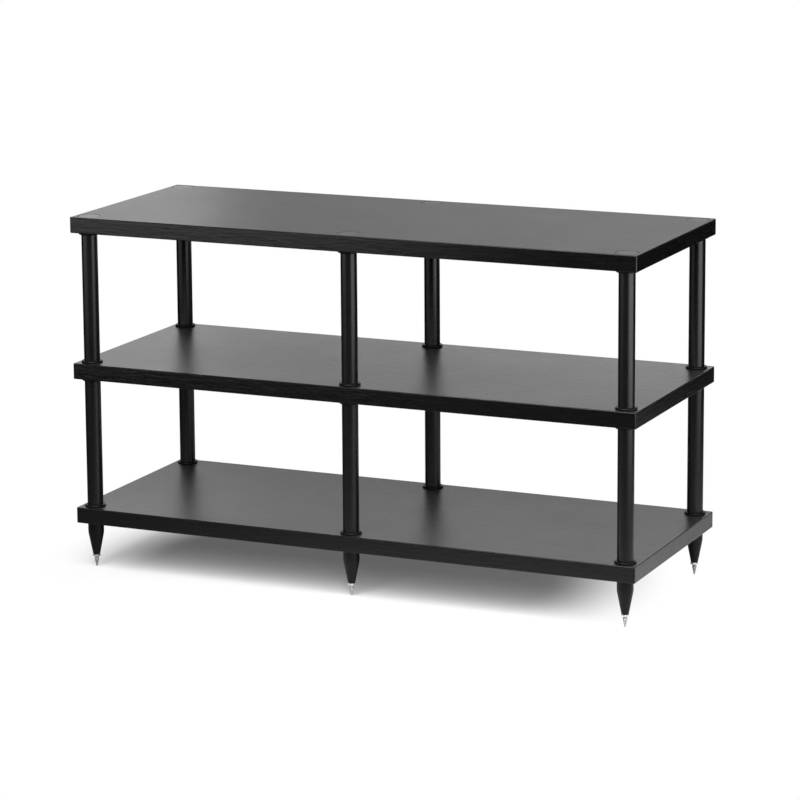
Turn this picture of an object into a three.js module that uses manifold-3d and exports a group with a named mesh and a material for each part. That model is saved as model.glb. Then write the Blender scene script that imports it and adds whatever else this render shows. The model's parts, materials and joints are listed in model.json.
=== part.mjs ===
// Double-width audio equipment rack: three shelves, two tiers of columns and six adjustable cone feet.
// Lengths are in millimetres, +Z is up, the origin is on the floor under the middle, the front faces -Y.
import * as THREE from "three";
import { mergeVertices } from "three/addons/utils/BufferGeometryUtils.js";
import Module from "manifold-3d";

const wasm = await Module();
wasm.setup();

// Shelves
const shelfWidth = 1120;
const shelfDepth = 430;
const shelfThickness = 30;
const bayHeight = 248; // clear height between two shelves
const edgeBandThickness = 2;
const edgeArrisRadius = 1.5;
const edgeArrisLand = 0.3; // least flat left between the rounded arris and the board
const shelfCornerRadius = 3;
const leastCornerRadius = 0.25;

// Bolt holes in the boards
const boardHoleDiameter = 22;
const headRecess = 0.2; // top of the bolt head below the top shelf's surface
const headGap = 1; // shadow gap round the bolt head
const headFaceMargin = 5; // board left between a counterbore and the front or back face
const headSideMargin = 6; // board left between a counterbore and a side face

// Columns
const columnDiameter = 30;
const columnWall = 2;

// Bushes: a neck in the board and a beaded flange under or over each column end
const flangeDiameter = 40;
const flangeThickness = 4.4;
const flangeSeatDepth = 0.5; // shallow seat in a shelf's upper face that a flange stands in
const spigotLength = 5;

// Tie bolts
const tieBoltDiameter = 10;
const headDiameter = 40;
const headThickness = 3;
const headChamfer = 0.5;

// Cone feet
const footDiameter = 30;
const footLength = 64;
const footStraightLength = 21;
const footShoulderBlend = 5;
const footEndDiameter = 13.8;
const footEndRadius = 1.5;
const footEndLand = 0.5; // least flat left between the rounded end and the bore
const footWeb = 11; // solid metal left between the two bores

// Lock nuts
const nutAcrossFlats = 13;
const nutThickness = 4;
const nutFaceInset = 0.3; // how far the chamfer reaches in past the middle of a flat
const nutChamferAngle = Math.PI / 6;

// Spikes
const spikeDiameter = 8;
const spikeLength = 46;
const spikePointLength = 14;
const spikeTipDiameter = 2;
const spikeShownLength = 20; // length below the lock nut as the rack stands
const spikeRise = 8; // how far a spike can be screwed in from there

// Clearances
const seatClearance = 0.3; // between a bush and the board and bolt
const spigotClearance = 0.4; // between a spigot and the inside of its tube
const threadClearance = 0.2; // between a plain shank and its plain bore
const boreEndClearance = 2; // between a bolt's end and the bottom of its bore
const spikeEndClearance = 1;
const cutOverrun = 1;

// Facets
const columnFacets = 16;
const bushFacets = 14;
const footFacets = 16;
const boltFacets = 14;
const spikeFacets = 12;
const nutFacets = 12;
const beadSteps = 3;
const cornerSteps = 2;
const arrisSteps = 2;
const endRoundSteps = 2;
const shoulderSteps = 2;

// Places worked out from the sizes above
const counterboreDiameter = headDiameter + 2 * headGap;
const columnX = shelfWidth / 2 - headSideMargin - counterboreDiameter / 2;
const columnY = shelfDepth / 2 - headFaceMargin - counterboreDiameter / 2;
const counterboreDepth = headThickness + headRecess;
const columnLength = bayHeight + flangeSeatDepth - 2 * flangeThickness;
const tierPitch = shelfThickness + bayHeight;
const footBase = spikeShownLength + nutThickness;
const lowestShelfBase = footBase + footLength;
const shelfBases = [0, 1, 2].map((tier) => lowestShelfBase + tier * tierPitch);
const topSurface = shelfBases[2] + shelfThickness;
const boltRadius = tieBoltDiameter / 2;
const boltBoreRadius = boltRadius + threadClearance;
const spikeRadius = spikeDiameter / 2;
const spikeBoreRadius = spikeRadius + threadClearance;
const spikeInFoot = spikeLength - spikeShownLength - nutThickness;
const spikeBoreDepth = spikeInFoot + spikeRise + spikeEndClearance;
const boltBoreDepth = footLength - spikeBoreDepth - footWeb;
const boltEnd = lowestShelfBase - boltBoreDepth + boreEndClearance;

const columnPlaces = [
  { name: "front_left", x: -columnX, y: -columnY },
  { name: "front_centre", x: 0, y: -columnY },
  { name: "front_right", x: columnX, y: -columnY },
  { name: "back_left", x: -columnX, y: columnY },
  { name: "back_centre", x: 0, y: columnY },
  { name: "back_right", x: columnX, y: columnY },
];

// Finishes
const finishes = {
  laminate: { color: 0x1c1c1d, roughness: 0.36, metalness: 0 },
  edgeBand: { color: 0x161617, roughness: 0.42, metalness: 0 },
  columnLacquer: { color: 0x131314, roughness: 0.34, metalness: 0 },
  bushPlastic: { color: 0x0c0c0d, roughness: 0.28, metalness: 0 },
  headLacquer: { color: 0x202022, roughness: 0.26, metalness: 0 },
  footLacquer: { color: 0x151516, roughness: 0.38, metalness: 0 },
  brightSteel: { color: 0xc9c9cc, roughness: 0.18, metalness: 1 },
};

function finish(name) {
  return new THREE.MeshStandardMaterial(finishes[name]);
}

// Points of an arc in a section, from one angle to another
function arc(centreR, centreZ, radius, from, to, steps) {
  return Array.from({ length: steps + 1 }, (_, i) => {
    const angle = from + ((to - from) * i) / steps;
    return [centreR + radius * Math.cos(angle), centreZ + radius * Math.sin(angle)];
  });
}

// A section of [radius, height] points turned about Z; points run anticlockwise, with radius to the right
function turned(section, facets) {
  const points = section.map(([radius, height]) => new THREE.Vector2(radius, height));
  return new THREE.LatheGeometry(points, facets).rotateX(Math.PI / 2);
}

// A hollow section, which closes on itself
function turnedRing(section, facets) {
  return turned([...section, section[0]], facets);
}

function solidOf(geometry) {
  const plain = geometry.clone();
  plain.deleteAttribute("normal");
  plain.deleteAttribute("uv");
  const merged = mergeVertices(plain);
  return new wasm.Manifold(
    new wasm.Mesh({
      numProp: 3,
      vertProperties: new Float32Array(merged.attributes.position.array),
      triVerts: new Uint32Array(merged.index.array),
    }),
  );
}

function geometryOf(solid) {
  const mesh = solid.getMesh();
  const geometry = new THREE.BufferGeometry();
  geometry.setAttribute("position", new THREE.BufferAttribute(mesh.vertProperties, 3));
  geometry.setIndex(new THREE.BufferAttribute(mesh.triVerts, 1));
  geometry.computeVertexNormals();
  return geometry;
}

// Plan outline of a shelf, drawn in by an inset, with rounded corners
function shelfOutline(inset) {
  const radius = Math.max(shelfCornerRadius - inset, leastCornerRadius);
  const x = shelfWidth / 2 - inset - radius;
  const y = shelfDepth / 2 - inset - radius;
  const corners = [
    [x, y],
    [-x, y],
    [-x, -y],
    [x, -y],
  ];
  return corners.flatMap(([cornerX, cornerY], quarter) => {
    const from = (quarter * Math.PI) / 2;
    return arc(cornerX, cornerY, radius, from, from + Math.PI / 2, cornerSteps);
  });
}

// A closed band lofted through outlines of equal counts, outside from the bottom up and inside back down
function loftedBand(loops) {
  const count = loops[0].outline.length;
  const positions = loops.flatMap(({ outline, z }) => outline.flatMap(([x, y]) => [x, y, z]));
  const indices = [];
  loops.forEach((_, loop) => {
    const here = loop * count;
    const next = ((loop + 1) % loops.length) * count;
    for (let point = 0; point < count; point += 1) {
      const after = (point + 1) % count;
      indices.push(here + point, here + after, next + point);
      indices.push(here + after, next + after, next + point);
    }
  });
  const geometry = new THREE.BufferGeometry();
  geometry.setAttribute("position", new THREE.Float32BufferAttribute(positions, 3));
  geometry.setIndex(indices);
  geometry.computeVertexNormals();
  return geometry;
}

// Edge band: a thin strip round the board, with both outer arrises rounded
function edgeBandGeometry() {
  const radius = Math.min(edgeArrisRadius, edgeBandThickness - edgeArrisLand);
  const lower = arc(radius, radius, radius, -Math.PI / 2, -Math.PI, arrisSteps);
  const upper = arc(radius, shelfThickness - radius, radius, Math.PI, Math.PI / 2, arrisSteps);
  const section = [[edgeBandThickness, 0], ...lower, ...upper, [edgeBandThickness, shelfThickness]];
  return loftedBand(section.map(([inset, z]) => ({ outline: shelfOutline(inset), z })));
}

// Hole through a board, opening into a wider recess in its upper face
function boardCutter(recess) {
  const hole = boardHoleDiameter / 2;
  const top = shelfThickness + cutOverrun;
  const floor = shelfThickness - recess.depth;
  const section = [
    [0, -cutOverrun],
    [hole, -cutOverrun],
    [hole, floor],
    [recess.radius, floor],
    [recess.radius, top],
    [0, top],
  ];
  return solidOf(turned(section, bushFacets));
}

function boardGeometry(recess) {
  const outline = shelfOutline(edgeBandThickness).map(([x, y]) => new THREE.Vector2(x, y));
  const slab = new THREE.ExtrudeGeometry(new THREE.Shape(outline), {
    depth: shelfThickness,
    bevelEnabled: false,
  });
  const cutter = boardCutter(recess);
  const board = columnPlaces.reduce(
    (left, { x, y }) => left.subtract(cutter.translate([x, y, 0])),
    solidOf(slab),
  );
  return geometryOf(board);
}

// Tube open at both ends
function columnGeometry() {
  const outer = columnDiameter / 2;
  const inner = outer - columnWall;
  const section = [
    [inner, 0],
    [outer, 0],
    [outer, columnLength],
    [inner, columnLength],
  ];
  return turnedRing(section, columnFacets);
}

// The stretch of a bush's section past a board face: a flange with a beaded rim, then the spigot
function flangeSection() {
  const bead = flangeThickness / 2;
  const beadCentre = flangeDiameter / 2 - bead * Math.cos(Math.PI / 2 / beadSteps);
  const spigot = columnDiameter / 2 - columnWall - spigotClearance;
  const end = flangeThickness + spigotLength;
  return [
    ...arc(beadCentre, bead, bead, -Math.PI / 2, Math.PI / 2, beadSteps),
    [spigot, flangeThickness],
    [spigot, end],
    [boltRadius + seatClearance, end],
  ];
}

// Bush in a board whose underside is at height 0; on a side without a flange the neck ends inside the board
function bushGeometry({ flangeOver, flangeUnder, recess }) {
  const neck = boardHoleDiameter / 2 - seatClearance;
  const bore = boltRadius + seatClearance;
  const recessFloor = shelfThickness - recess.depth;
  const over = flangeOver
    ? [[neck, recessFloor], ...flangeSection().map(([r, z]) => [r, recessFloor + z])]
    : [
        [neck, recessFloor - seatClearance],
        [bore, recessFloor - seatClearance],
      ];
  const under = flangeUnder
    ? [...flangeSection().map(([r, z]) => [r, -z]).reverse(), [neck, 0]]
    : [
        [bore, seatClearance],
        [neck, seatClearance],
      ];
  return turnedRing([...under, ...over], bushFacets);
}

// Long bolt whose flat disc head lies in the top shelf and whose end is screwed into a cone foot
function tieBoltGeometry() {
  const head = headDiameter / 2;
  const top = topSurface - headRecess;
  const underHead = top - headThickness;
  const section = [
    [0, boltEnd],
    [boltRadius, boltEnd],
    [boltRadius, underHead],
    [head, underHead],
    [head, top - headChamfer],
    [head - headChamfer, top],
    [0, top],
  ];
  return turned(section, boltFacets);
}

// Cone foot standing at height 0: spike bore from below, bolt bore from above
function footGeometry() {
  const outer = footDiameter / 2;
  const end = footEndDiameter / 2;
  const endRadius = Math.min(footEndRadius, end - spikeBoreRadius - footEndLand);
  const shoulder = footLength - footStraightLength;
  const slope = (outer - end) / (shoulder - endRadius);
  const blend = new THREE.QuadraticBezierCurve(
    new THREE.Vector2(outer - footShoulderBlend * slope, shoulder - footShoulderBlend),
    new THREE.Vector2(outer, shoulder),
    new THREE.Vector2(outer, shoulder + footShoulderBlend),
  );
  const section = [
    [0, spikeBoreDepth],
    [spikeBoreRadius, spikeBoreDepth],
    [spikeBoreRadius, 0],
    ...arc(end - endRadius, endRadius, endRadius, -Math.PI / 2, 0, endRoundSteps),
    ...blend.getPoints(shoulderSteps).map(({ x, y }) => [x, y]),
    [outer, footLength],
    [boltBoreRadius, footLength],
    [boltBoreRadius, footLength - boltBoreDepth],
    [0, footLength - boltBoreDepth],
  ];
  return turned(section, footFacets);
}

// Thin hexagon nut with both faces chamfered round
function nutGeometry() {
  const corner = nutAcrossFlats / 2 / Math.cos(Math.PI / 6);
  const face = nutAcrossFlats / 2 - nutFaceInset;
  const chamfer = (corner - face) * Math.tan(nutChamferAngle);
  const prism = new THREE.CylinderGeometry(corner, corner, nutThickness, 6)
    .rotateX(Math.PI / 2)
    .translate(0, 0, nutThickness / 2);
  const rounding = turned(
    [
      [0, 0],
      [face, 0],
      [corner, chamfer],
      [corner, nutThickness - chamfer],
      [face, nutThickness],
      [0, nutThickness],
    ],
    nutFacets,
  );
  const bore = turned(
    [
      [0, -cutOverrun],
      [spikeBoreRadius, -cutOverrun],
      [spikeBoreRadius, nutThickness + cutOverrun],
      [0, nutThickness + cutOverrun],
    ],
    nutFacets,
  );
  return geometryOf(solidOf(prism).intersect(solidOf(rounding)).subtract(solidOf(bore)));
}

// Spike standing on its tip at height 0
function spikeGeometry() {
  const section = [
    [0, 0],
    [spikeTipDiameter / 2, 0],
    [spikeRadius, spikePointLength],
    [spikeRadius, spikeLength],
    [0, spikeLength],
  ];
  return turned(section, spikeFacets);
}

function piece(name, geometry, finishName, z = 0) {
  const mesh = new THREE.Mesh(geometry, finish(finishName));
  mesh.name = name;
  mesh.position.z = z;
  return mesh;
}

const flangeSeat = { radius: flangeDiameter / 2 + seatClearance, depth: flangeSeatDepth };
const counterbore = { radius: counterboreDiameter / 2, depth: counterboreDepth };
const shelves = [
  { name: "bottom", base: shelfBases[0], recess: flangeSeat, flangeOver: true, flangeUnder: false },
  { name: "middle", base: shelfBases[1], recess: flangeSeat, flangeOver: true, flangeUnder: true },
  { name: "top", base: shelfBases[2], recess: counterbore, flangeOver: false, flangeUnder: true },
];
const columnRise = shelfThickness - flangeSeatDepth + flangeThickness;
const tiers = [
  { name: "lower", base: shelfBases[0] + columnRise },
  { name: "upper", base: shelfBases[1] + columnRise },
];

const rack = new THREE.Group();

for (const { name, base, recess } of shelves) {
  rack.add(piece(`${name}_shelf_board`, boardGeometry(recess), "laminate", base));
  rack.add(piece(`${name}_shelf_edge_band`, edgeBandGeometry(), "edgeBand", base));
}

// One stack of pieces on each bolt line
for (const { name, x, y } of columnPlaces) {
  const stack = new THREE.Group();
  stack.position.set(x, y, 0);
  for (const shelf of shelves) {
    stack.add(piece(`${shelf.name}_bush_${name}`, bushGeometry(shelf), "bushPlastic", shelf.base));
  }
  for (const tier of tiers) {
    stack.add(piece(`${tier.name}_column_${name}`, columnGeometry(), "columnLacquer", tier.base));
  }
  stack.add(piece(`tie_bolt_${name}`, tieBoltGeometry(), "headLacquer"));
  stack.add(piece(`cone_foot_${name}`, footGeometry(), "footLacquer", footBase));
  stack.add(piece(`lock_nut_${name}`, nutGeometry(), "brightSteel", spikeShownLength));
  stack.add(piece(`spike_${name}`, spikeGeometry(), "brightSteel"));
  rack.add(stack);
}

export default rack;
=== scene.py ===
"""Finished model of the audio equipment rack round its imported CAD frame, with its studio."""

import json
import math

import bpy
from mathutils import Matrix, Vector


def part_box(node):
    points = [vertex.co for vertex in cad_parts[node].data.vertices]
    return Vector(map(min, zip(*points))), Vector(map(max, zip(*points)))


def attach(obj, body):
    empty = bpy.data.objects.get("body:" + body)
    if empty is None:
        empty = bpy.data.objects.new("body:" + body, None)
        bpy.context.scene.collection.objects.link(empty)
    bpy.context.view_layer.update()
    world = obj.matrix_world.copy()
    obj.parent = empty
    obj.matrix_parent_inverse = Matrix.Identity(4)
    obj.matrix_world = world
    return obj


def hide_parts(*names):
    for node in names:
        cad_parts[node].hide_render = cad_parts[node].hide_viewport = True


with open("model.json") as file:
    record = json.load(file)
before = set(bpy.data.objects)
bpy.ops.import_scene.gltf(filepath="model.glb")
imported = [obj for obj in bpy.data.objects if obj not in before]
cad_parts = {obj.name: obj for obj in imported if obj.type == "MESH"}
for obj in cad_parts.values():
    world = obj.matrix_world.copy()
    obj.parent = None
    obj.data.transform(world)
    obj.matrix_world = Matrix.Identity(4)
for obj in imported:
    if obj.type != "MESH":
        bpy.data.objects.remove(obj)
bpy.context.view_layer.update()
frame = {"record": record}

bl_info = {
    "name": "Audio equipment rack",
    "version": (1, 0, 0),
    "blender": (4, 5, 0),
    "location": "3D View > Sidebar > Rack",
    "description": "Models a rack's shelves, columns, bushes, bolts, feet, nuts and spikes",
    "category": "Object",
}

MERGE_DISTANCE = 1e-6
SMOOTH_ANGLE = math.radians(32)
TURNED_FACETS = 64
# How far a cutting tool reaches past the piece that it cuts
OVERRUN = 0.001

TIERS = ("bottom", "middle", "top")
PLACES = ("front_left", "front_centre", "front_right", "back_left", "back_centre", "back_right")
MODEL_PLACE = PLACES[0]


def body_of(node):
    """Body that a CAD node rides on."""
    bodies = frame["record"]["behaviour"]["bodies"]
    return next(body for body, members in bodies.items() if node in members)


def column_line(place):
    """Point on the floor under the tie bolt at a place."""
    low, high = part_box(f"tie_bolt_{place}")
    return (low.x + high.x) / 2, (low.y + high.y) / 2, 0


def heights(node):
    """Lowest and highest Z of a CAD node."""
    low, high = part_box(node)
    return low.z, high.z


def radius_of(node):
    """Radius of a turned CAD node, or of a nut to its corners, taken from front to back."""
    low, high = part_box(node)
    return (high.y - low.y) / 2


# Sizes and colours that a user may change


class RackSizes(bpy.types.PropertyGroup):
    """Small sizes of the rack's parts that the frame doesn't hold."""

    band_thickness: bpy.props.FloatProperty(
        name="Edge band", description="Thickness of the strip round a shelf",
        default=0.002, min=0.0005, unit="LENGTH", subtype="DISTANCE")
    corner_radius: bpy.props.FloatProperty(
        name="Shelf corner", description="Radius of a shelf's corners, seen from above",
        default=0.003, min=0.0005, unit="LENGTH", subtype="DISTANCE")
    arris_radius: bpy.props.FloatProperty(
        name="Shelf arris", description="Rounding along a shelf's upper and lower edges",
        default=0.0015, min=0.0001, unit="LENGTH", subtype="DISTANCE")
    board_hole: bpy.props.FloatProperty(
        name="Board hole", description="Diameter of the hole for a bush's neck",
        default=0.022, min=0.01, unit="LENGTH", subtype="DISTANCE")
    counterbore: bpy.props.FloatProperty(
        name="Counterbore", description="Diameter of the recess round a bolt head",
        default=0.042, min=0.02, unit="LENGTH", subtype="DISTANCE")
    counterbore_depth: bpy.props.FloatProperty(
        name="Counterbore depth", description="Depth of the recess round a bolt head",
        default=0.0032, min=0.001, unit="LENGTH", subtype="DISTANCE")
    flange_seat: bpy.props.FloatProperty(
        name="Flange seat", description="Diameter of the shallow seat under a bush's flange",
        default=0.0406, min=0.02, unit="LENGTH", subtype="DISTANCE")
    flange_seat_depth: bpy.props.FloatProperty(
        name="Flange seat depth", description="Depth of the shallow seat under a bush's flange",
        default=0.0005, min=0.0001, unit="LENGTH", subtype="DISTANCE")
    flange_thickness: bpy.props.FloatProperty(
        name="Flange", description="Thickness of a bush's beaded flange",
        default=0.0044, min=0.002, unit="LENGTH", subtype="DISTANCE")
    spigot_length: bpy.props.FloatProperty(
        name="Spigot", description="How far a bush reaches into its column",
        default=0.005, min=0.001, unit="LENGTH", subtype="DISTANCE")
    spigot_diameter: bpy.props.FloatProperty(
        name="Spigot diameter", description="Diameter of the stub that fits in a column",
        default=0.0252, min=0.01, unit="LENGTH", subtype="DISTANCE")
    neck_diameter: bpy.props.FloatProperty(
        name="Bush neck", description="Diameter of a bush inside its board",
        default=0.0214, min=0.01, unit="LENGTH", subtype="DISTANCE")
    bush_bore: bpy.props.FloatProperty(
        name="Bush bore", description="Diameter of the bolt's way through a bush",
        default=0.0106, min=0.005, unit="LENGTH", subtype="DISTANCE")
    column_wall: bpy.props.FloatProperty(
        name="Column wall", description="Wall of a column tube",
        default=0.002, min=0.0005, unit="LENGTH", subtype="DISTANCE")
    bolt_diameter: bpy.props.FloatProperty(
        name="Tie bolt", description="Diameter of a tie bolt's shank",
        default=0.010, min=0.004, unit="LENGTH", subtype="DISTANCE")
    head_thickness: bpy.props.FloatProperty(
        name="Bolt head", description="Thickness of a tie bolt's disc head",
        default=0.003, min=0.001, unit="LENGTH", subtype="DISTANCE")
    foot_straight: bpy.props.FloatProperty(
        name="Foot collar", description="Straight length at the top of a cone foot",
        default=0.021, min=0.002, unit="LENGTH", subtype="DISTANCE")
    foot_blend: bpy.props.FloatProperty(
        name="Foot shoulder", description="How far the shoulder's rounding reaches each way",
        default=0.005, min=0.0005, unit="LENGTH", subtype="DISTANCE")
    foot_end: bpy.props.FloatProperty(
        name="Foot end", description="Diameter of a cone foot at its lower end",
        default=0.0138, min=0.01, unit="LENGTH", subtype="DISTANCE")
    foot_end_radius: bpy.props.FloatProperty(
        name="Foot end rounding", description="Rounding at a cone foot's lower end",
        default=0.0015, min=0.0001, unit="LENGTH", subtype="DISTANCE")
    spike_bore: bpy.props.FloatProperty(
        name="Spike bore", description="Diameter of the spike's bore in its foot and nut",
        default=0.0084, min=0.004, unit="LENGTH", subtype="DISTANCE")
    spike_bore_depth: bpy.props.FloatProperty(
        name="Spike bore depth", description="Depth of the spike's bore in its foot",
        default=0.031, min=0.005, unit="LENGTH", subtype="DISTANCE")
    bolt_bore: bpy.props.FloatProperty(
        name="Bolt bore", description="Diameter of the bolt's bore in a foot",
        default=0.0104, min=0.005, unit="LENGTH", subtype="DISTANCE")
    bolt_bore_depth: bpy.props.FloatProperty(
        name="Bolt bore depth", description="Depth of the bolt's bore in a foot",
        default=0.022, min=0.005, unit="LENGTH", subtype="DISTANCE")
    spike_point: bpy.props.FloatProperty(
        name="Spike point", description="Length of a spike's turned point",
        default=0.014, min=0.002, unit="LENGTH", subtype="DISTANCE")
    spike_tip: bpy.props.FloatProperty(
        name="Spike tip", description="Diameter of the flat on a spike's tip",
        default=0.002, min=0.0002, unit="LENGTH", subtype="DISTANCE")
    thread_pitch: bpy.props.FloatProperty(
        name="Thread pitch", description="Rise of the spike's thread in one turn",
        default=0.00125, min=0.0005, unit="LENGTH", subtype="DISTANCE")
    thread_depth: bpy.props.FloatProperty(
        name="Thread depth", description="Depth of the spike's thread",
        default=0.0006, min=0.0001, unit="LENGTH", subtype="DISTANCE")


class RackColours(bpy.types.PropertyGroup):
    """Base colours of the finishes, as plain linear values."""

    laminate: bpy.props.FloatVectorProperty(
        name="Laminate", description="Black laminate on the boards",
        default=(0.0175, 0.0175, 0.0182), min=0, max=1, size=3, subtype="COLOR")
    edge_band: bpy.props.FloatVectorProperty(
        name="Edge band", description="Black strip round the boards",
        default=(0.0035, 0.0035, 0.0036), min=0, max=1, size=3, subtype="COLOR")
    lacquer: bpy.props.FloatVectorProperty(
        name="Lacquer", description="Satin black on the columns and feet",
        default=(0.0025, 0.0025, 0.0026), min=0, max=1, size=3, subtype="COLOR")
    plastic: bpy.props.FloatVectorProperty(
        name="Bush plastic", description="Satin black of the bushes",
        default=(0.004, 0.004, 0.0041), min=0, max=1, size=3, subtype="COLOR")
    head: bpy.props.FloatVectorProperty(
        name="Bolt head", description="Semi-gloss black of the disc heads",
        default=(0.0175, 0.0175, 0.0182), min=0, max=1, size=3, subtype="COLOR")
    steel: bpy.props.FloatVectorProperty(
        name="Spike steel", description="Turned steel of the spikes",
        default=(0.50, 0.50, 0.51), min=0, max=1, size=3, subtype="COLOR")
    nut: bpy.props.FloatVectorProperty(
        name="Nut plating", description="Bright plating of the lock nuts",
        default=(0.92, 0.92, 0.93), min=0, max=1, size=3, subtype="COLOR")


class StudioSettings(bpy.types.PropertyGroup):
    """Power of each softbox, and brightness of the paper and the room round the rack."""

    main_power: bpy.props.FloatProperty(
        name="Main softbox", description="Power of the large softbox above and before the rack",
        default=250.0, min=0, unit="POWER")
    side_power: bpy.props.FloatProperty(
        name="Right softbox", description="Power of the softbox on the right",
        default=22.3, min=0, unit="POWER")
    fill_power: bpy.props.FloatProperty(
        name="Left fill", description="Power of the weaker panel on the left",
        default=15.5, min=0, unit="POWER")
    low_power: bpy.props.FloatProperty(
        name="Low back softbox", description="Power of the low panel behind the rack",
        default=1.1, min=0, unit="POWER")
    high_power: bpy.props.FloatProperty(
        name="High back softbox", description="Power of the panel behind the rack's left end",
        default=1.95, min=0, unit="POWER")
    backdrop_glow: bpy.props.FloatProperty(
        name="Backdrop", description="Brightness of the paper behind the rack, as gloss shows it",
        default=1.45, min=0)
    backdrop_light: bpy.props.FloatProperty(
        name="Backdrop light", description="Brightness of that paper as a light on the rack",
        default=1.0, min=0)
    room_glow: bpy.props.FloatProperty(
        name="Room", description="Brightness of the dark side of the studio",
        default=0.03, min=0)


# Shader maths


class Signal:
    """A socket's value. Arithmetic on it adds Math nodes."""

    def __init__(self, owner, socket):
        self.owner = owner
        self.socket = socket

    def _maths(self, operation, first, second):
        """Result of a Math node on two values."""
        return self.owner.node("ShaderNodeMath", {"operation": operation}, {0: first, 1: second})

    def __add__(self, other):
        return self._maths("ADD", self, other)

    def __radd__(self, other):
        return self._maths("ADD", other, self)

    def __sub__(self, other):
        return self._maths("SUBTRACT", self, other)

    def __rsub__(self, other):
        return self._maths("SUBTRACT", other, self)

    def __mul__(self, other):
        return self._maths("MULTIPLY", self, other)

    def __rmul__(self, other):
        return self._maths("MULTIPLY", other, self)

    def __truediv__(self, other):
        return self._maths("DIVIDE", self, other)

    def __rtruediv__(self, other):
        return self._maths("DIVIDE", other, self)

    def __pow__(self, other):
        return self._maths("POWER", self, other)


class NodeTree:
    """A node tree that nodes are added to by one method."""

    def __init__(self, owner):
        owner.use_nodes = True
        self.tree = owner.node_tree
        self.tree.nodes.clear()

    def node(self, kind, settings=None, sockets=None, output=0):
        """Adds a node: its type, its settings, then the values or links of its sockets."""
        made = self.tree.nodes.new(kind)
        for name, value in (settings or {}).items():
            if name == "stops":
                self._set_stops(made.color_ramp, value)
            else:
                setattr(made, name, value)
        for name, value in (sockets or {}).items():
            self._feed(self._input(made, name), value)
        if not made.outputs:
            return None
        shown = [socket for socket in made.outputs if socket.enabled]
        found = shown[output] if isinstance(output, int) else made.outputs[output]
        return Signal(self, found)

    def smooth_step(self, value, edges, least=0.0):
        """Smooth rise from the least level to 1, while a value goes from edge to edge."""
        return self.node(
            "ShaderNodeMapRange", {"interpolation_type": "SMOOTHSTEP"},
            {"Value": value, "From Min": edges[0], "From Max": edges[1], "To Min": least})

    @staticmethod
    def _input(made, name):
        """Socket of a node by its place in the row, or by its name among those in use."""
        if isinstance(name, int):
            return made.inputs[name]
        return next(socket for socket in made.inputs if socket.name == name and socket.enabled)

    def _feed(self, socket, value):
        """Links a signal to a socket, or sets the socket's own value."""
        if isinstance(value, Signal):
            self.tree.links.new(value.socket, socket)
        elif hasattr(value, "__len__") and len(value) == 3 and socket.type == "RGBA":
            socket.default_value = (*value, 1)
        else:
            socket.default_value = value

    @staticmethod
    def _set_stops(ramp, stops):
        """Gives a ramp its stops, each a position and a level of grey."""
        while len(ramp.elements) < len(stops):
            ramp.elements.new(1)
        for element, (position, level) in zip(ramp.elements, stops):
            element.position = position
            element.color = (level, level, level, 1)


class Finish(NodeTree):
    """A procedural material on Object coordinates."""

    def __init__(self, name):
        self.material = bpy.data.materials.new(name)
        super().__init__(self.material)
        self.place = self.node("ShaderNodeTexCoord", output="Object")

    def noise(self, cells, detail, roughness=0.5, density=(1, 1, 1)):
        """Noise from 0 to 1, of so many cells to the metre, times a density along each axis."""
        spread = self.node("ShaderNodeMapping", None, {"Vector": self.place, "Scale": density})
        return self.node(
            "ShaderNodeTexNoise", {"noise_dimensions": "3D", "normalize": True},
            {"Vector": spread, "Scale": cells, "Detail": detail, "Roughness": roughness},
            output="Fac")

    def grade(self, value, *stops):
        """Value passed through a ramp of (position, level) stops."""
        return self.node("ShaderNodeValToRGB", {"stops": stops}, {"Fac": value})

    def varied(self, colour, factor, darkest, lightest):
        """Colour that goes from its darkest to its lightest shade as a factor goes from 0 to 1."""
        return self.node(
            "ShaderNodeMix", {"data_type": "RGBA"},
            {"Factor": factor, "A": shade(colour, darkest), "B": shade(colour, lightest)})

    def bump(self, height, depth, strength=1.0, under=None):
        """Normal tilted by a height from 0 to 1, for a relief that is so many metres deep."""
        sockets = {"Height": height, "Distance": depth, "Strength": strength}
        if under is not None:
            sockets["Normal"] = under
        return self.node("ShaderNodeBump", None, sockets)

    def surface(self, **sockets):
        """Principled surface, whose sockets are given as keywords with underscores for spaces."""
        named = {name.replace("_", " "): value for name, value in sockets.items()}
        shader = self.node("ShaderNodeBsdfPrincipled", None, named)
        self.node("ShaderNodeOutputMaterial", None, {"Surface": shader})
        return self.material


def shade(colour, factor):
    """A colour made lighter or darker."""
    return tuple(min(level * factor, 1) for level in colour)


# Roughness of each finish where it is smoothest
LAMINATE_ROUGHNESS = 0.28
BAND_ROUGHNESS = 0.12
COLUMN_ROUGHNESS = 0.25
HEAD_ROUGHNESS = 0.30
FOOT_ROUGHNESS = 0.27
PLASTIC_ROUGHNESS = 0.34
STEEL_ROUGHNESS = 0.24

# Refractive index of each finish, and how strongly the bushes' plastic mirrors
LAMINATE_INDEX = 1.5
BAND_INDEX = 1.46
LACQUER_INDEX = 1.5
FOOT_INDEX = 1.33
PLASTIC_INDEX = 1.4
PLASTIC_MIRRORING = 0.22


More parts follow.
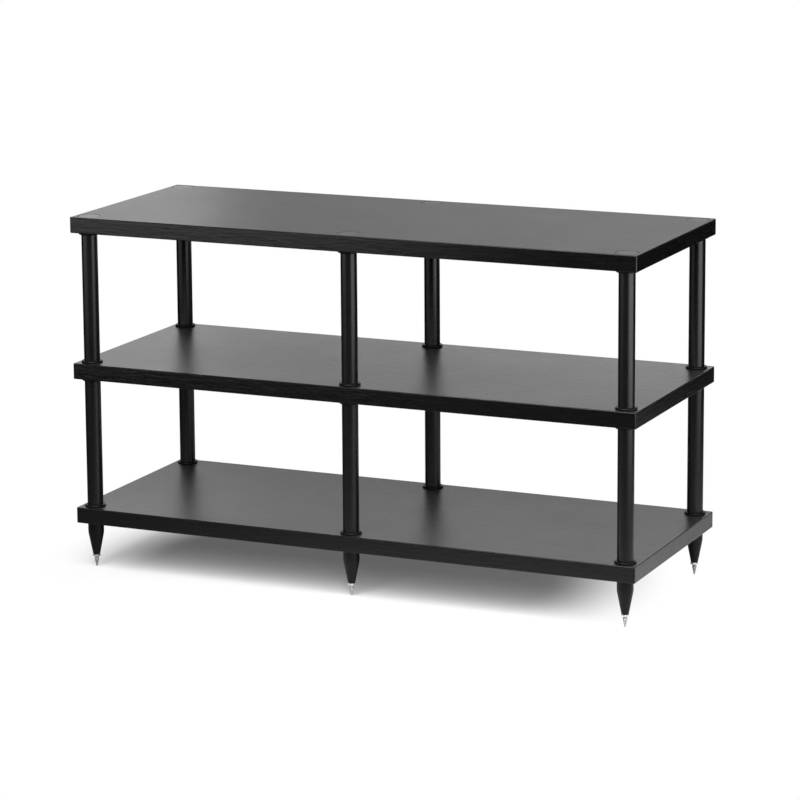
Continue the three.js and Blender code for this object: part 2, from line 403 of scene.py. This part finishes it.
def laminate_finish(colour):
    """Black laminate: cloudy satin with faint short fibres and a fine pore grain."""
    finish = Finish("satin_black_laminate")
    clouds = finish.noise(cells=11, detail=4, roughness=0.62)
    drift = finish.noise(cells=3.2, detail=2)
    pores = finish.noise(cells=900, detail=2, roughness=0.6)
    fibres = finish.noise(cells=80, detail=5, roughness=0.7, density=(0.6, 1, 1))
    tone = finish.varied(
        colour, clouds * 0.35 + drift * 0.2 + fibres * 0.45, darkest=0.4, lightest=1.7)
    roughness = (
        LAMINATE_ROUGHNESS + clouds * 0.05 + drift * 0.03 + fibres * 0.06 + pores * 0.02)
    fibre_relief = finish.bump(fibres, depth=0.0005)
    relief = finish.bump(pores, depth=0.00002, strength=0.55, under=fibre_relief)
    return finish.surface(
        Base_Color=tone, Roughness=roughness, IOR=LAMINATE_INDEX, Normal=relief)


def edge_band_finish(colour):
    """Black edge strip: fine streaks along the strip and a faint scuff here and there."""
    finish = Finish("satin_black_edge_band")
    streaks = finish.noise(cells=60, detail=4, roughness=0.65, density=(0.5, 0.5, 4))
    rubbing = finish.noise(cells=24, detail=4, roughness=0.7)
    scuffs = finish.grade(rubbing, (0.58, 0), (0.78, 1))
    tone = finish.varied(colour, streaks, darkest=0.4, lightest=1.7)
    roughness = BAND_ROUGHNESS + streaks * 0.12 + scuffs * 0.05
    relief = finish.bump(streaks, depth=0.0005, strength=0.8)
    return finish.surface(Base_Color=tone, Roughness=roughness, IOR=BAND_INDEX, Normal=relief)


def lacquer_finish(name, colour, smoothest, index=LACQUER_INDEX):
    """Satin lacquer on metal: orange peel and slightly uneven gloss."""
    finish = Finish(name)
    patches = finish.noise(cells=38, detail=3)
    peel = finish.noise(cells=620, detail=2, roughness=0.45)
    tone = finish.varied(colour, patches, darkest=0.8, lightest=1.25)
    roughness = smoothest + patches * 0.05 + peel * 0.02
    relief = finish.bump(peel, depth=0.000025, strength=0.5)
    return finish.surface(Base_Color=tone, Roughness=roughness, IOR=index, Normal=relief)


def plastic_finish(colour):
    """Satin moulded plastic with faint flow marks."""
    finish = Finish("satin_black_plastic")
    flow = finish.noise(cells=85, detail=3, density=(1, 1, 2.4))
    tone = finish.varied(colour, flow, darkest=0.8, lightest=1.3)
    roughness = PLASTIC_ROUGHNESS + flow * 0.10
    relief = finish.bump(flow, depth=0.00002, strength=0.3)
    return finish.surface(
        Base_Color=tone, Roughness=roughness, IOR=PLASTIC_INDEX,
        Specular_IOR_Level=PLASTIC_MIRRORING, Normal=relief)


def steel_finish(name, colour):
    """Bright steel, with fine rings left by turning."""
    finish = Finish(name)
    rings = finish.noise(cells=2600, detail=1, density=(0.02, 0.02, 1))
    haze = finish.noise(cells=210, detail=3)
    tone = finish.varied(colour, haze, darkest=0.86, lightest=1.08)
    roughness = STEEL_ROUGHNESS + rings * 0.08 + haze * 0.06
    relief = finish.bump(rings, depth=0.000006, strength=0.5)
    return finish.surface(Base_Color=tone, Metallic=1.0, Roughness=roughness, Normal=relief)


# Modelling


def start_afresh():
    """Object mode with nothing selected."""
    if bpy.context.mode != "OBJECT":
        bpy.ops.object.mode_set(mode="OBJECT")
    bpy.ops.object.select_all(action="DESELECT")


def choose(piece):
    """Selects one piece and makes it active."""
    start_afresh()
    piece.select_set(True)
    bpy.context.view_layer.objects.active = piece


def settle(piece):
    """Puts a piece's place, turn and size in its mesh."""
    choose(piece)
    bpy.ops.object.transform_apply(location=True, rotation=True, scale=True)


def soften(piece):
    """Smooth over its curves, sharp at its corners, and even across its flats."""
    choose(piece)
    bpy.ops.object.shade_smooth_by_angle(angle=SMOOTH_ANGLE)
    modifier = piece.modifiers.new("even_flats", "WEIGHTED_NORMAL")
    modifier.keep_sharp = True
    bpy.ops.object.modifier_apply(modifier=modifier.name)


def arc(centre_radius, centre_height, radius, start, end, steps):
    """Points of an arc in a section of (radius, height)."""
    angles = [start + (end - start) * step / steps for step in range(steps + 1)]
    return [
        (centre_radius + radius * math.cos(angle), centre_height + radius * math.sin(angle))
        for angle in angles
    ]


def turned(name, section, hollow=False, facets=TURNED_FACETS):
    """Turns a section about Z by extruding and scaling a circle from point to point.
    A solid one is closed by a disc at each end, and a hollow one closes on itself."""
    start_afresh()
    radius, height = section[0]
    bpy.ops.mesh.primitive_circle_add(
        vertices=facets, radius=radius, location=(0, 0, height),
        fill_type="NOTHING" if hollow else "NGON")
    piece = bpy.context.object
    piece.name = name
    bpy.ops.object.mode_set(mode="EDIT")
    bpy.ops.mesh.select_all(action="SELECT")
    for next_radius, next_height in section[1:] + (section[:1] if hollow else []):
        bpy.ops.mesh.extrude_region_move(
            TRANSFORM_OT_translate={"value": (0, 0, next_height - height)})
        spread = next_radius / radius
        bpy.ops.transform.resize(value=(spread, spread, 1), center_override=(0, 0, next_height))
        radius, height = next_radius, next_height
    bpy.ops.mesh.select_all(action="SELECT")
    bpy.ops.mesh.remove_doubles(threshold=MERGE_DISTANCE)
    bpy.ops.mesh.normals_make_consistent(inside=False)
    bpy.ops.object.mode_set(mode="OBJECT")
    settle(piece)
    return piece


def select_edges(piece, wanted):
    """In edit mode, selects the edges whose two ends pass a test."""
    bpy.ops.mesh.select_mode(type="EDGE")
    bpy.ops.mesh.select_all(action="DESELECT")
    bpy.ops.object.mode_set(mode="OBJECT")
    mesh = piece.data
    for edge in mesh.edges:
        first, second = (mesh.vertices[index].co for index in edge.vertices)
        edge.select = wanted(first, second)
    bpy.ops.object.mode_set(mode="EDIT")


def select_flats(piece, wanted):
    """In edit mode, selects the faces that pass a test."""
    bpy.ops.mesh.select_mode(type="FACE")
    bpy.ops.mesh.select_all(action="DESELECT")
    bpy.ops.object.mode_set(mode="OBJECT")
    for flat in piece.data.polygons:
        flat.select = wanted(flat)
    bpy.ops.object.mode_set(mode="EDIT")


def rounded_block(name, low, high, radius, segments):
    """A box between two corners with its upright edges rounded, as the start of a piece."""
    start_afresh()
    bpy.ops.mesh.primitive_cube_add(size=1, location=(low + high) / 2)
    piece = bpy.context.object
    piece.name = name
    piece.scale = high - low
    settle(piece)
    bpy.ops.object.mode_set(mode="EDIT")
    select_edges(piece, lambda a, b: abs(a.z - b.z) > (high.z - low.z) / 2)
    bpy.ops.mesh.bevel(offset=radius, segments=segments, affect="EDGES")
    bpy.ops.object.mode_set(mode="OBJECT")
    return piece


def discard(piece):
    """Deletes a model or a tool that has done its work."""
    choose(piece)
    bpy.ops.object.delete()


def carve(piece, tool, operation):
    """Applies a Boolean with another object, which is then deleted."""
    choose(piece)
    modifier = piece.modifiers.new("carve", "BOOLEAN")
    modifier.operation = operation
    modifier.solver = "EXACT"
    modifier.object = tool
    bpy.ops.object.modifier_apply(modifier=modifier.name)
    discard(tool)


def duplicated(piece, offset):
    """A copy with its own mesh, moved by an offset."""
    choose(piece)
    bpy.ops.object.duplicate_move(
        OBJECT_OT_duplicate={"linked": False}, TRANSFORM_OT_translate={"value": offset})
    copy = bpy.context.object
    settle(copy)
    return copy


def joined(pieces):
    """Several objects as one."""
    choose(pieces[0])
    for piece in pieces:
        piece.select_set(True)
    bpy.ops.object.join()
    return bpy.context.object


def place_in_frame(piece, node, material):
    """Names a piece for the CAD node it stands for, and gives it its finish and body."""
    piece.name = f"finished_{node}"
    piece.data.name = piece.name
    piece.data.materials.clear()
    piece.data.materials.append(material)
    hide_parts(node)
    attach(piece, body_of(node))


def at_every_place(model, prefix, material):
    """Copies a piece modelled on the Z axis to the six bolt lines."""
    for place in PLACES:
        copy = duplicated(model, column_line(place))
        place_in_frame(copy, f"{prefix}_{place}", material)
    discard(model)


# Operators


class RACK_OT_shelf_boards(bpy.types.Operator):
    """Models the three shelf boards with their bolt holes, seats and counterbores"""

    bl_idname = "rack.shelf_boards"
    bl_label = "Shelf boards"

    HOLE_CHAMFER = 0.0003
    CORNER_SEGMENTS = 4

    def cutter(self, bottom, top, hole, recess, depth):
        """One tool for a board's six holes, given a hole's diameter and its recess's and depth."""
        chamfer = self.HOLE_CHAMFER
        inner, outer = hole / 2, recess / 2
        model = turned("hole_cutter", [
            (inner, bottom - OVERRUN),
            (inner, top - depth),
            (outer, top - depth),
            (outer, top - chamfer),
            (outer + chamfer, top),
            (outer + chamfer, top + OVERRUN),
        ])
        cutters = [duplicated(model, column_line(place)) for place in PLACES]
        discard(model)
        return joined(cutters)

    def execute(self, context):
        sizes = context.scene.rack_sizes
        material = laminate_finish(context.scene.rack_colours.laminate)
        corner = sizes.corner_radius - sizes.band_thickness
        head_recess = (sizes.counterbore, sizes.counterbore_depth)
        flange_recess = (sizes.flange_seat, sizes.flange_seat_depth)
        for tier in TIERS:
            node = f"{tier}_shelf_board"
            low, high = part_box(node)
            board = rounded_block(node, low, high, corner, self.CORNER_SEGMENTS)
            recess = head_recess if tier == "top" else flange_recess
            cutter = self.cutter(low.z, high.z, sizes.board_hole, *recess)
            carve(board, cutter, "DIFFERENCE")
            soften(board)
            place_in_frame(board, node, material)
        return {"FINISHED"}


class RACK_OT_edge_bands(bpy.types.Operator):
    """Models the strip round each shelf, with rounded corners and arrises"""

    bl_idname = "rack.edge_bands"
    bl_label = "Edge bands"

    CORNER_SEGMENTS = 8
    ARRIS_SEGMENTS = 5
    LEVEL_NORMAL = 0.999
    SLACK = 1e-5

    def inner_rims(self, low, high, thickness):
        """Test for the edges round the opening, on the band's upper and lower faces."""
        inset = thickness - self.SLACK

        def on_rim(end):
            return (min(end.z - low.z, high.z - end.z) < self.SLACK
                    and low.x + inset < end.x < high.x - inset
                    and low.y + inset < end.y < high.y - inset)

        return lambda a, b: abs(a.z - b.z) < self.SLACK and on_rim(a) and on_rim(b)

    def execute(self, context):
        sizes = context.scene.rack_sizes
        material = edge_band_finish(context.scene.rack_colours.edge_band)
        for tier in TIERS:
            node = f"{tier}_shelf_edge_band"
            low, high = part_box(node)
            band = rounded_block(node, low, high, sizes.corner_radius, self.CORNER_SEGMENTS)
            bpy.ops.object.mode_set(mode="EDIT")
            select_edges(band, lambda a, b: abs(a.z - b.z) < MERGE_DISTANCE)
            bpy.ops.mesh.bevel(
                offset=sizes.arris_radius, segments=self.ARRIS_SEGMENTS, affect="EDGES")
            for side in (1, -1):
                select_flats(band, lambda flat: flat.normal.z * side > self.LEVEL_NORMAL)
                bpy.ops.mesh.inset(thickness=sizes.band_thickness - sizes.arris_radius)
                bpy.ops.mesh.delete(type="ONLY_FACE")
            select_edges(band, self.inner_rims(low, high, sizes.band_thickness))
            bpy.ops.mesh.bridge_edge_loops()
            bpy.ops.mesh.select_all(action="SELECT")
            bpy.ops.mesh.normals_make_consistent(inside=False)
            bpy.ops.object.mode_set(mode="OBJECT")
            soften(band)
            place_in_frame(band, node, material)
        return {"FINISHED"}


class RACK_OT_columns(bpy.types.Operator):
    """Models one column tube for each tier and copies it to the bolt lines"""

    bl_idname = "rack.columns"
    bl_label = "Columns"

    END_CHAMFER = 0.0003

    def execute(self, context):
        sizes = context.scene.rack_sizes
        material = lacquer_finish(
            "satin_black_column", context.scene.rack_colours.lacquer, COLUMN_ROUGHNESS)
        chamfer = self.END_CHAMFER
        for tier in ("lower", "upper"):
            node = f"{tier}_column_{MODEL_PLACE}"
            bottom, top = heights(node)
            outer = radius_of(node)
            inner = outer - sizes.column_wall
            column = turned(node, [
                (inner, bottom),
                (outer - chamfer, bottom),
                (outer, bottom + chamfer),
                (outer, top - chamfer),
                (outer - chamfer, top),
                (inner, top),
            ], hollow=True)
            soften(column)
            at_every_place(column, f"{tier}_column", material)
        return {"FINISHED"}


class RACK_OT_bushes(bpy.types.Operator):
    """Models the three kinds of bush, with rounded beads on their flanges, and copies them"""

    bl_idname = "rack.bushes"
    bl_label = "Bushes"

    BEAD_STEPS = 14
    SPIGOT_CHAMFER = 0.0006

    def flange(self, sizes, radius):
        """From the board's face outwards: the beaded flange, then the spigot."""
        bead = sizes.flange_thickness / 2
        spigot = sizes.spigot_diameter / 2
        end = sizes.flange_thickness + sizes.spigot_length
        chamfer = self.SPIGOT_CHAMFER
        return [
            *arc(radius - bead, bead, bead, -math.pi / 2, math.pi / 2, self.BEAD_STEPS),
            (spigot, sizes.flange_thickness),
            (spigot, end - chamfer),
            (spigot - chamfer, end),
            (sizes.bush_bore / 2, end),
        ]

    def execute(self, context):
        sizes = context.scene.rack_sizes
        material = plastic_finish(context.scene.rack_colours.plastic)
        neck = sizes.neck_diameter / 2
        bore = sizes.bush_bore / 2
        for tier in TIERS:
            node = f"{tier}_bush_{MODEL_PLACE}"
            bottom, top = heights(node)
            board_bottom, board_top = heights(f"{tier}_shelf_board")
            flange = self.flange(sizes, radius_of(node))
            if tier == "top":
                over = [(neck, top), (bore, top)]
            else:
                seat = board_top - sizes.flange_seat_depth
                over = [(neck, seat), *[(radius, seat + height) for radius, height in flange]]
            if tier == "bottom":
                under = [(bore, bottom), (neck, bottom)]
            else:
                under = [(radius, board_bottom - height) for radius, height in reversed(flange)]
                under.append((neck, board_bottom))
            bush = turned(node, under + over, hollow=True)
            soften(bush)
            at_every_place(bush, f"{tier}_bush", material)
        return {"FINISHED"}


class RACK_OT_tie_bolts(bpy.types.Operator):
    """Models a tie bolt with a flat disc head and copies it to the bolt lines"""

    bl_idname = "rack.tie_bolts"
    bl_label = "Tie bolts"

    HEAD_ROUNDING = 0.0005
    HEAD_STEPS = 5
    END_CHAMFER = 0.001

    def execute(self, context):
        sizes = context.scene.rack_sizes
        node = f"tie_bolt_{MODEL_PLACE}"
        material = lacquer_finish(
            "semigloss_black_bolt", context.scene.rack_colours.head, HEAD_ROUGHNESS)
        bottom, top = heights(node)
        head = radius_of(node)
        shank = sizes.bolt_diameter / 2
        rounding = self.HEAD_ROUNDING
        under_head = top - sizes.head_thickness
        bolt = turned(node, [
            (shank - self.END_CHAMFER, bottom),
            (shank, bottom + self.END_CHAMFER),
            (shank, under_head),
            (head - rounding / 2, under_head),
            (head, under_head + rounding / 2),
            *arc(head - rounding, top - rounding, rounding, 0, math.pi / 2, self.HEAD_STEPS),
        ])
        soften(bolt)
        at_every_place(bolt, "tie_bolt", material)
        return {"FINISHED"}


class RACK_OT_cone_feet(bpy.types.Operator):
    """Models a cone foot with a blended shoulder, rounded end and two bores, and copies it"""

    bl_idname = "rack.cone_feet"
    bl_label = "Cone feet"

    SHOULDER_STEPS = 10
    END_STEPS = 6
    TOP_CHAMFER = 0.0003

    def shoulder_blend(self, outer, slope, shoulder, reach):
        """Points of the curve from the taper to the straight collar."""
        points = []
        for step in range(self.SHOULDER_STEPS + 1):
            share = step / self.SHOULDER_STEPS
            radius = outer - (1 - share) ** 2 * reach * slope
            height = shoulder + (share ** 2 - (1 - share) ** 2) * reach
            points.append((radius, height))
        return points

    def execute(self, context):
        sizes = context.scene.rack_sizes
        node = f"cone_foot_{MODEL_PLACE}"
        material = lacquer_finish(
            "satin_black_foot", context.scene.rack_colours.lacquer, FOOT_ROUGHNESS, FOOT_INDEX)
        bottom, top = heights(node)
        outer = radius_of(node)
        end = sizes.foot_end / 2
        rounding = sizes.foot_end_radius
        shoulder = top - sizes.foot_straight
        slope = (outer - end) / (shoulder - bottom - rounding)
        spike_bore = sizes.spike_bore / 2
        bolt_bore = sizes.bolt_bore / 2
        foot = turned(node, [
            (spike_bore, bottom + sizes.spike_bore_depth),
            (spike_bore, bottom),
            *arc(end - rounding, bottom + rounding, rounding, -math.pi / 2, 0, self.END_STEPS),
            *self.shoulder_blend(outer, slope, shoulder, sizes.foot_blend),
            (outer, top - self.TOP_CHAMFER),
            (outer - self.TOP_CHAMFER, top),
            (bolt_bore, top),
            (bolt_bore, top - sizes.bolt_bore_depth),
        ])
        soften(foot)
        at_every_place(foot, "cone_foot", material)
        return {"FINISHED"}


class RACK_OT_lock_nuts(bpy.types.Operator):
    """Models a thin hexagon lock nut, chamfered on both faces and bored, and copies it"""

    bl_idname = "rack.lock_nuts"
    bl_label = "Lock nuts"

    CORNERS = 6
    FACE_INSET = 0.0003
    CHAMFER_ANGLE = math.radians(30)
    BORE_CHAMFER = 0.0004
    RUNNING_GAP = 0.00002

    def execute(self, context):
        sizes = context.scene.rack_sizes
        node = f"lock_nut_{MODEL_PLACE}"
        material = steel_finish("bright_plated_nut", context.scene.rack_colours.nut)
        bottom, top = heights(node)
        top -= self.RUNNING_GAP
        corner = radius_of(node)
        face = corner * math.cos(math.pi / self.CORNERS) - self.FACE_INSET
        drop = (corner - face) * math.tan(self.CHAMFER_ANGLE)
        start_afresh()
        bpy.ops.mesh.primitive_cylinder_add(
            vertices=self.CORNERS, radius=corner, depth=top - bottom,
            location=(0, 0, (top + bottom) / 2))
        nut = bpy.context.object
        settle(nut)
        carve(nut, turned("nut_rounding", [
            (face, bottom),
            (corner, bottom + drop),
            (corner, top - drop),
            (face, top),
        ]), "INTERSECT")
        bore = sizes.spike_bore / 2
        chamfer = self.BORE_CHAMFER
        carve(nut, turned("nut_bore", [
            (bore + chamfer, bottom - OVERRUN),
            (bore + chamfer, bottom),
            (bore, bottom + chamfer),
            (bore, top - chamfer),
            (bore + chamfer, top),
            (bore + chamfer, top + OVERRUN),
        ]), "DIFFERENCE")
        soften(nut)
        at_every_place(nut, "lock_nut", material)
        return {"FINISHED"}


class RACK_OT_spikes(bpy.types.Operator):
    """Models a levelling spike with a turned point and a helical thread, and copies it"""

    bl_idname = "rack.spikes"
    bl_label = "Spikes"

    FACETS = 36
    TIP_ROUNDING = 0.0003
    TIP_START = -math.pi / 3
    TIP_STEPS = 3
    RINGS_PER_TURN = 8
    PLAIN_STRETCH = 0.0008
    FADE = 0.0016
    FLANK_STEEPNESS = 1.35
    CREST_WIDTH = 0.12
    END_CHAMFER = 0.0006

    def cut_thread(self, spike, sizes, outer, start, end):
        """Moves the shank's vertices in to a helical groove that fades out at both ends."""
        for vertex in spike.data.vertices:
            spot = vertex.co
            if not start < spot.z < end:
                continue
            turn = spot.z / sizes.thread_pitch - math.atan2(spot.y, spot.x) / (2 * math.pi)
            ridge = abs(2 * (turn % 1) - 1)
            groove = min(max((1 - ridge) * self.FLANK_STEEPNESS - self.CREST_WIDTH, 0), 1)
            fade = min((spot.z - start) / self.FADE, (end - spot.z) / self.FADE, 1)
            inward = 1 - sizes.thread_depth * groove * fade / outer
            spot.x *= inward
            spot.y *= inward

    def execute(self, context):
        sizes = context.scene.rack_sizes
        node = f"spike_{MODEL_PLACE}"
        material = steel_finish("turned_steel_spike", context.scene.rack_colours.steel)
        bottom, top = heights(node)
        outer = radius_of(node)
        rounding = self.TIP_ROUNDING
        flat = sizes.spike_tip / 2 - rounding
        start = bottom + sizes.spike_point + self.PLAIN_STRETCH
        end = top - self.END_CHAMFER
        rise = sizes.thread_pitch / self.RINGS_PER_TURN
        rings = round((end - start) / rise)
        spike = turned(node, [
            (flat, bottom),
            *arc(flat, bottom + rounding, rounding, self.TIP_START, 0, self.TIP_STEPS),
            (outer, bottom + sizes.spike_point),
            *[(outer, start + (end - start) * ring / rings) for ring in range(rings + 1)],
            (outer - self.END_CHAMFER, top),
        ], facets=self.FACETS)
        self.cut_thread(spike, sizes, outer, start, end)
        soften(spike)
        at_every_place(spike, "spike", material)
        return {"FINISHED"}


class RACK_OT_studio(bpy.types.Operator):
    """Sets up the camera, floor, softboxes and surroundings"""

    bl_idname = "rack.studio"
    bl_label = "Studio"

    CAMERA_PLACE = (2.4734, -5.5324, 1.6675)
    CAMERA_AZIMUTH = math.radians(23.9415)
    CAMERA_ELEVATION = math.radians(10.3876)
    CAMERA_ROLL = math.radians(-0.362)
    CAMERA_LENS = 149.22
    CAMERA_SHIFT = -0.15
    CAMERA_SENSOR = 36.0
    CAMERA_REACH = 60.0

    FLOOR_SIZE = 30.0
    FLOOR_ALBEDO = 0.9
    # Painted pool of light on the floor, as gloss and matt faces see it: the floor's colour is
    # pale within its radius and painted dark beyond it, in place of the lamps' falloff
    PAINTED_LIGHT_POOL_RADIUS = 0.87
    PAINTED_LIGHT_POOL_SHIFT = (-0.3, -0.39, 0)
    PAINTED_LIGHT_POOL_STEEPNESS = 4
    # Patch where the camera sees the rack's shadow on the floor: beyond its edges all is white,
    # and inside it a painted white glow lightens the shadow
    SHADOW_SCALE = (1.7, 1.6, 1.0)
    SHADOW_SHIFT = (0.12, 0.10, 0)
    SHADOW_EDGES = (0.64, 1.05)
    PAINTED_GLOW_IN_SHADOW = 0.10

    # Pale paper behind the rack, and where it is dimmer. The edges of a heading are cosines of
    # the angle away from it, and those of the paper's top are sines of the angle upwards
    PAPER_HEADING = CAMERA_AZIMUTH
    PAPER_EDGES = (0.55, 0.96)
    DIM_HEADING = math.radians(60)
    DIM_EDGES = (0.743, 0.883)
    DIM_LOSS = 0.42
    TOP_EDGES = (0.08, 0.42)
    TOP_LOSS = 0.94

    # Name, property of its power, place, aim, width and height, and whether it lights matt faces
    SOFTBOXES = (
        ("main_softbox", "main_power",
         (0.45, -2.55, 2.95), (0, -0.05, 0.1), (3.6, 4.2), True),
        ("right_softbox", "side_power",
         (1.75, -0.62, 0.84), (0, -0.62, 0.84), (1.74, 1.5), True),
        ("left_fill", "fill_power",
         (-1.95, -1.95, 0.87), (0, 0, 0.87), (2.8, 1.5), False),
        ("low_back_softbox", "low_power",
         (-0.35, 0.95, 0.55), (-0.35, 0, 0.55), (2.0, 0.26), False),
        ("high_back_softbox", "high_power",
         (-1.71, 1.75, 1.25), (-0.5, 0, 0.67), (0.8, 0.7), False),
    )

    def add_camera(self, context):
        """Camera at the photograph's angle: a heading, an elevation and a small roll."""
        azimuth, elevation = self.CAMERA_AZIMUTH, self.CAMERA_ELEVATION
        back = Vector((
            math.sin(azimuth) * math.cos(elevation),
            -math.cos(azimuth) * math.cos(elevation),
            math.sin(elevation)))
        right = Vector((math.cos(azimuth), math.sin(azimuth), 0))
        level = Matrix((right, back.cross(right), back)).transposed()
        bpy.ops.object.camera_add(location=self.CAMERA_PLACE)
        camera = context.object
        camera.name = "photograph_camera"
        camera.rotation_euler = (level @ Matrix.Rotation(self.CAMERA_ROLL, 3, "Z")).to_euler()
        camera.data.lens = self.CAMERA_LENS
        camera.data.sensor_width = self.CAMERA_SENSOR
        camera.data.sensor_fit = "HORIZONTAL"
        camera.data.shift_y = self.CAMERA_SHIFT
        camera.data.clip_end = self.CAMERA_REACH
        context.scene.camera = camera

    def add_floor(self):
        """White floor that keeps the rack's shadow and looks white as far as the camera sees."""
        start_afresh()
        bpy.ops.mesh.primitive_plane_add(size=self.FLOOR_SIZE)
        floor = bpy.context.object
        floor.name = "studio_floor"
        paint = Finish("white_studio_floor")
        seen = self.seen_through(paint)
        # For all but the camera, the floor's colour holds a painted pool of light that darkens
        # with distance
        from_painted_light_pool = self.floor_distance(paint, (1 / self.PAINTED_LIGHT_POOL_RADIUS,) * 3, self.PAINTED_LIGHT_POOL_SHIFT)
        painted_light_pool = 1 / (from_painted_light_pool ** self.PAINTED_LIGHT_POOL_STEEPNESS + 1)
        lit = paint.node(
            "ShaderNodeBsdfDiffuse", None,
            {"Color": (seen + (1 - seen) * painted_light_pool) * self.FLOOR_ALBEDO})
        white = paint.node("ShaderNodeEmission", None, {"Color": (1, 1, 1), "Strength": 1.0})
        from_shadow = self.floor_distance(paint, self.SHADOW_SCALE, self.SHADOW_SHIFT)
        # Share of white glow to the camera: all of it beyond the patch, and inside it a small
        # painted glow that lightens the shadow
        fade = paint.smooth_step(from_shadow, self.SHADOW_EDGES, self.PAINTED_GLOW_IN_SHADOW)
        both = paint.node("ShaderNodeMixShader", None, {0: seen * fade, 1: lit, 2: white})
        paint.node("ShaderNodeOutputMaterial", None, {"Surface": both})
        floor.data.materials.append(paint.material)

    @staticmethod
    def floor_distance(paint, scale, shift):
        """Distance from the middle of the floor, once its coordinates are scaled and shifted."""
        moved = paint.node(
            "ShaderNodeMapping", None,
            {"Vector": paint.place, "Location": shift, "Scale": scale})
        return paint.node(
            "ShaderNodeVectorMath", {"operation": "LENGTH"}, {0: moved}, output="Value")

    @staticmethod
    def seen_through(tree):
        """1 for what the camera sees itself or through glass, otherwise 0."""
        camera = tree.node("ShaderNodeLightPath", output="Is Camera Ray")
        glass = tree.node("ShaderNodeLightPath", output="Is Transmission Ray")
        return tree.node("ShaderNodeMath", {"operation": "MAXIMUM"}, {0: camera, 1: glass})

    @staticmethod
    def towards(tree, heading, edges):
        """Mask from 0 to 1, as a level direction comes round to a heading behind the rack."""
        direction = tree.node("ShaderNodeTexCoord", output="Generated")
        flattened = tree.node(
            "ShaderNodeVectorMath", {"operation": "MULTIPLY"}, {0: direction, 1: (1, 1, 0)})
        level = tree.node("ShaderNodeVectorMath", {"operation": "NORMALIZE"}, {0: flattened})
        alignment = tree.node(
            "ShaderNodeVectorMath", {"operation": "DOT_PRODUCT"},
            {0: level, 1: (-math.sin(heading), math.cos(heading), 0)}, output="Value")
        return tree.smooth_step(alignment, edges)

    def add_surroundings(self, context, studio):
        """White to the camera; otherwise pale paper behind the rack and a dark room before it."""
        world = bpy.data.worlds.new("studio")
        context.scene.world = world
        tree = NodeTree(world)
        direction = tree.node("ShaderNodeTexCoord", output="Generated")
        height = tree.node("ShaderNodeSeparateXYZ", None, {"Vector": direction}, output="Z")
        high = tree.smooth_step(height, self.TOP_EDGES)
        paper = self.towards(tree, self.PAPER_HEADING, self.PAPER_EDGES)
        dim = self.towards(tree, self.DIM_HEADING, self.DIM_EDGES)
        level = (1 - high * self.TOP_LOSS) * (1 - dim * self.DIM_LOSS)
        mirrored = tree.node("ShaderNodeLightPath", output="Is Glossy Ray")
        backdrop = mirrored * studio.backdrop_glow + (1 - mirrored) * studio.backdrop_light
        glow = studio.room_glow + paper * level * backdrop
        seen = self.seen_through(tree)
        strength = seen + (1 - seen) * glow
        sky = tree.node("ShaderNodeBackground", None, {"Color": (1, 1, 1), "Strength": strength})
        tree.node("ShaderNodeOutputWorld", None, {"Surface": sky})

    @staticmethod
    def add_softbox(name, power, place, aim, size, lights_matt):
        """Rectangular softbox at a place, facing a point. Gloss mirrors it in any case."""
        start_afresh()
        turn = (Vector(aim) - Vector(place)).to_track_quat("-Z", "Y").to_euler()
        bpy.ops.object.light_add(type="AREA", location=place, rotation=turn)
        lamp = bpy.context.object
        lamp.name = name
        lamp.data.shape = "RECTANGLE"
        lamp.data.size, lamp.data.size_y = size
        lamp.data.energy = power
        lamp.visible_camera = False
        lamp.visible_diffuse = lights_matt

    def execute(self, context):
        studio = context.scene.rack_studio
        self.add_camera(context)
        self.add_floor()
        self.add_surroundings(context, studio)
        for name, power, *setting in self.SOFTBOXES:
            self.add_softbox(name, getattr(studio, power), *setting)
        context.scene.view_settings.view_transform = "Standard"
        return {"FINISHED"}


class RACK_PT_panel(bpy.types.Panel):
    """Lists the rack's pieces and its sizes, colours and studio"""

    bl_label = "Audio equipment rack"
    bl_idname = "RACK_PT_panel"
    bl_space_type = "VIEW_3D"
    bl_region_type = "UI"
    bl_category = "Rack"

    def draw(self, context):
        for operator in OPERATORS:
            self.layout.operator(operator.bl_idname)
        scene = context.scene
        for group in (scene.rack_sizes, scene.rack_colours, scene.rack_studio):
            box = self.layout.box()
            for name in group.__annotations__:
                box.prop(group, name)


OPERATORS = (
    RACK_OT_shelf_boards,
    RACK_OT_edge_bands,
    RACK_OT_columns,
    RACK_OT_bushes,
    RACK_OT_tie_bolts,
    RACK_OT_cone_feet,
    RACK_OT_lock_nuts,
    RACK_OT_spikes,
    RACK_OT_studio,
)
CLASSES = (RackSizes, RackColours, StudioSettings, *OPERATORS, RACK_PT_panel)


def register():
    """Registers the classes and gives the scene its three groups of settings."""
    for each in CLASSES:
        bpy.utils.register_class(each)
    bpy.types.Scene.rack_sizes = bpy.props.PointerProperty(type=RackSizes)
    bpy.types.Scene.rack_colours = bpy.props.PointerProperty(type=RackColours)
    bpy.types.Scene.rack_studio = bpy.props.PointerProperty(type=StudioSettings)


def unregister():
    """Takes the settings and the classes away again."""
    del bpy.types.Scene.rack_studio
    del bpy.types.Scene.rack_colours
    del bpy.types.Scene.rack_sizes
    for each in reversed(CLASSES):
        bpy.utils.unregister_class(each)


def main():
    """Builds the rack and its studio."""
    register()
    bpy.ops.rack.shelf_boards()
    bpy.ops.rack.edge_bands()
    bpy.ops.rack.columns()
    bpy.ops.rack.bushes()
    bpy.ops.rack.tie_bolts()
    bpy.ops.rack.cone_feet()
    bpy.ops.rack.lock_nuts()
    bpy.ops.rack.spikes()
    bpy.ops.rack.studio()
    start_afresh()


if __name__ == "__main__":
    main()
